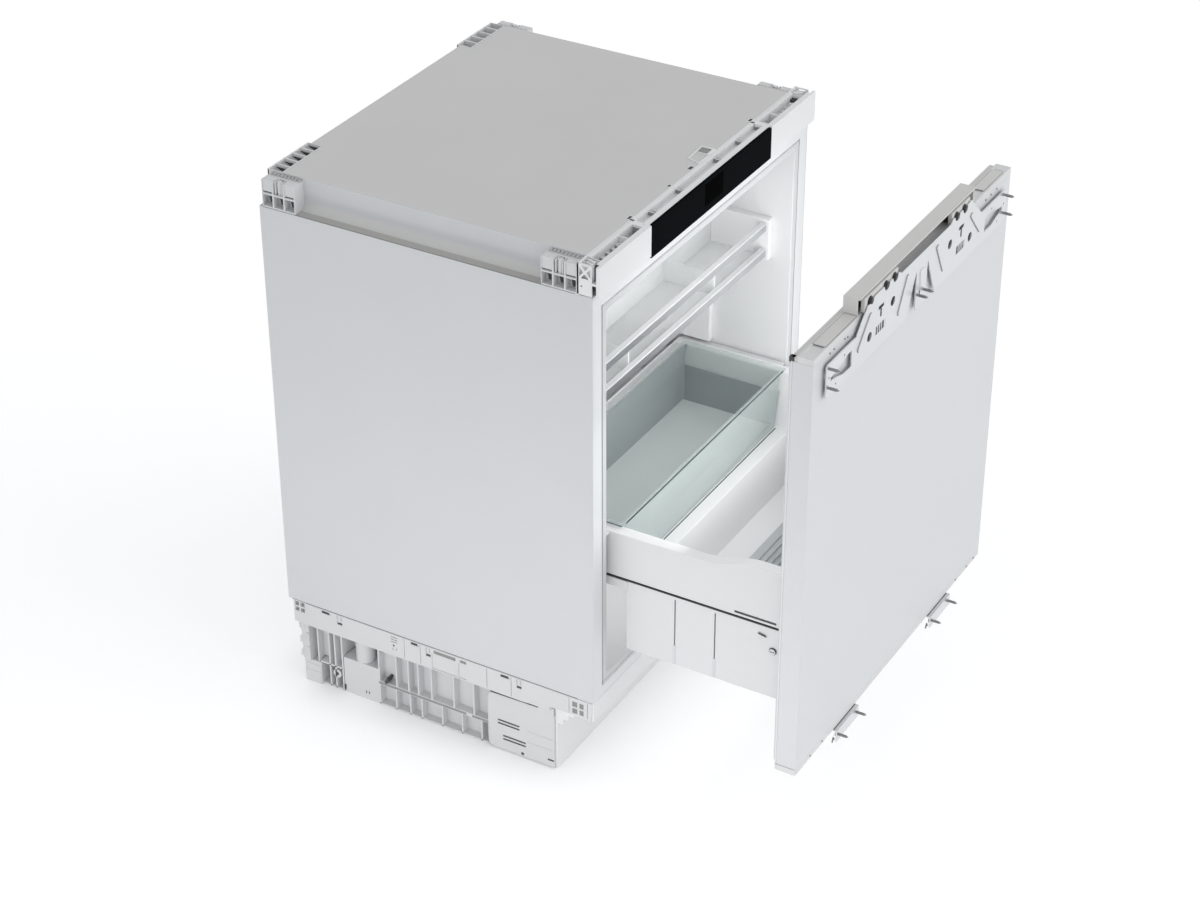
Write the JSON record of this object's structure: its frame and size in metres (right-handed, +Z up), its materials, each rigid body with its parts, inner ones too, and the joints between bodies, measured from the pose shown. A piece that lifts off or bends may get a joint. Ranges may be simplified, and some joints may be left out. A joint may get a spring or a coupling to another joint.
{
  "type": "undercounter fridge",
  "caption": "Integrated undercounter fridge with a pull-out front that carries a bottle tub and a storage bin, an upper shelf, and brackets for a furniture panel.",
  "frame": {"origin": "on the floor under the middle of the cabinet, half-way between its front flange and its back", "axes": "-Y out of the front, +Z up, +X to the right of someone who faces the front"},
  "size_m": [0.597, 0.832, 0.82],
  "materials": {
    "painted_sheet": "satin",
    "white_plastic": "satin",
    "lid_grey": "matte",
    "base_plastic": "matte",
    "warm_grey_plastic": "matte",
    "black_glass": "gloss",
    "black_plastic": "matte",
    "clear_plastic": "gloss",
    "shelf_clear": "gloss",
    "lamp_lens": "frosted",
    "foam": "matte",
    "seal_rubber": "matte",
    "mat_rubber": "matte",
    "mount_rubber": "matte",
    "trim_aluminium": "satin",
    "bracket_steel": "satin",
    "rail_steel": "satin",
    "screw_steel": "satin",
    "compressor_black": "satin",
    "pipe_copper": "satin",
    "board_green": "matte"
  },
  "bodies": {
    "cabinet": {"side_sheet_left": "painted_sheet", "side_sheet_right": "painted_sheet", "rear_panel": "painted_sheet", "rear_grille": "base_plastic", "front_frame": "painted_sheet", "inner_liner": "white_plastic", "insulation_foam": "foam", "evaporator_plate": "trim_aluminium", "top_plate": "lid_grey", "fascia_bar": "white_plastic", "control_glass": "black_glass", "control_board": "board_green", "light_strip": "lamp_lens", "top_corner_front_left": "base_plastic", "top_corner_front_right": "base_plastic", "top_corner_rear_left": "base_plastic", "top_corner_rear_right": "base_plastic", "base_side_left": "base_plastic", "base_side_right": "base_plastic", "service_cover_left": "base_plastic", "service_cover_right": "base_plastic", "plinth_front": "white_plastic", "base_pan": "base_plastic", "compressor": "compressor_black", "compressor_mounts": "mount_rubber", "evaporation_tray": "black_plastic", "suction_pipe": "pipe_copper", "condenser": "compressor_black", "fan_shroud": "black_plastic", "inlet_socket": "black_plastic", "shelf_support_left": "white_plastic", "shelf_support_right": "white_plastic", "shelf_bars": "trim_aluminium", "shelf_glass": "shelf_clear", "shelf_dividers": "shelf_clear", "cabinet_rail_left": "rail_steel", "cabinet_rail_right": "rail_steel"},
    "fan": {"fan_rotor": "black_plastic"},
    "foot_front_left": {"foot_front_left": "black_plastic"},
    "foot_front_right": {"foot_front_right": "black_plastic"},
    "foot_rear_left": {"foot_rear_left": "black_plastic"},
    "foot_rear_right": {"foot_rear_right": "black_plastic"},
    "middle_rails": {"middle_rail_left": "rail_steel", "middle_rail_right": "rail_steel"},
    "pull_out": {"drawer_rail_left": "rail_steel", "drawer_rail_right": "rail_steel", "drawer_tub": "white_plastic", "bottle_mat": "mat_rubber", "storage_bin": "clear_plastic", "front_skin": "painted_sheet", "front_foam": "foam", "front_inner_liner": "white_plastic", "door_gasket": "seal_rubber", "front_cap_top": "white_plastic", "front_cap_bottom": "white_plastic", "mount_housing": "warm_grey_plastic", "mounting_bracket": "bracket_steel", "bracket_adjusters": "black_plastic", "lower_brackets": "bracket_steel", "panel_screws": "screw_steel"}
  },
  "joints": [
    {"name": "pull_out_slide", "type": "slide", "parent": "cabinet", "child": "pull_out", "axis": [0, -1, 0], "range_m": [-0.2675, 0.135]},
    {"name": "middle_rail_slide", "type": "slide", "parent": "cabinet", "child": "middle_rails", "axis": [0, -1, 0], "range_m": [-0.13375, 0.0675]},
    {"name": "fan_spin", "type": "hinge", "parent": "cabinet", "child": "fan", "pos_m": [-0.17, 0.13, 0.068], "axis": [0, 1, 0], "continuous": true},
    {"name": "foot_front_left_slide", "type": "slide", "parent": "cabinet", "child": "foot_front_left", "axis": [0, 0, 1], "range_m": [-0.06, 0]},
    {"name": "foot_front_right_slide", "type": "slide", "parent": "cabinet", "child": "foot_front_right", "axis": [0, 0, 1], "range_m": [-0.06, 0]},
    {"name": "foot_rear_left_slide", "type": "slide", "parent": "cabinet", "child": "foot_rear_left", "axis": [0, 0, 1], "range_m": [-0.06, 0]},
    {"name": "foot_rear_right_slide", "type": "slide", "parent": "cabinet", "child": "foot_rear_right", "axis": [0, 0, 1], "range_m": [-0.06, 0]}
  ],
  "couplings": [
    {"joint": "middle_rail_slide", "follows": "pull_out_slide", "ratio": 0.5}
  ]
}
